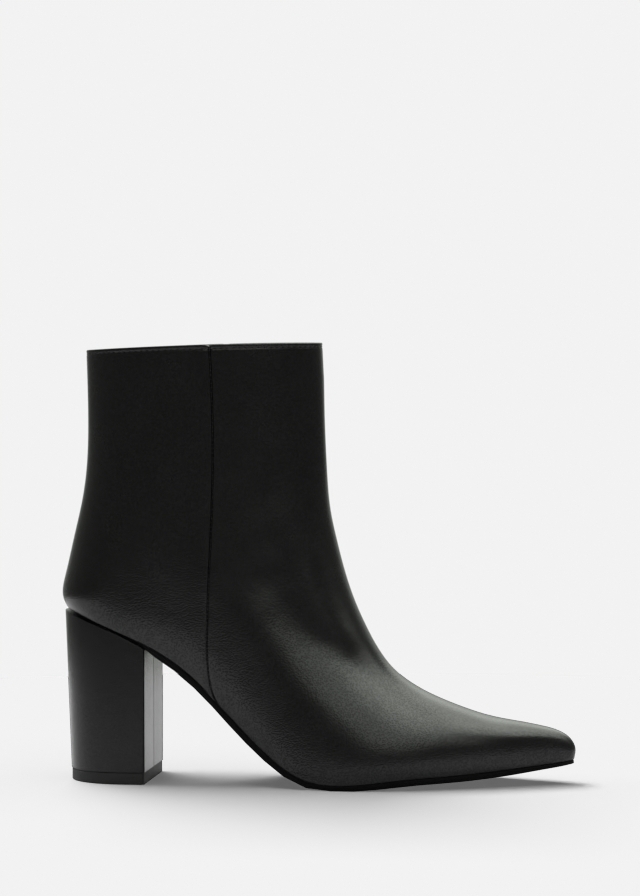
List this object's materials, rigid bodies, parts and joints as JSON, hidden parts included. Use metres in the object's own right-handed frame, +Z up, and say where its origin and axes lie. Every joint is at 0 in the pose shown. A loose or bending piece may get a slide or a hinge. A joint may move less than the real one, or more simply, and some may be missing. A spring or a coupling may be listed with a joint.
{
  "type": "block heel ankle boot",
  "caption": "Right ankle boot with a pointed toe, smooth black upper with plain side seams, thin sole and a tall wrapped block heel.",
  "frame": {"origin": "on the floor, under the middle of the boot's box", "axes": "+X towards the toe, +Y towards the inner side of the foot, +Z up"},
  "size_m": [0.2548, 0.08, 0.2168],
  "materials": {
    "upper_leather": "smooth black leather with a fine grain and a soft sheen",
    "outsole_rubber": "black, smooth edge",
    "insole_sock": "black sock, matte",
    "heel_leather": "smooth black leather wrap",
    "heel_tip_rubber": "matte black"
  },
  "bodies": {
    "root": {"upper": "upper_leather", "outsole": "outsole_rubber", "insole": "insole_sock", "heel_block": "heel_leather", "heel_tip": "heel_tip_rubber"}
  },
  "joints": []
}
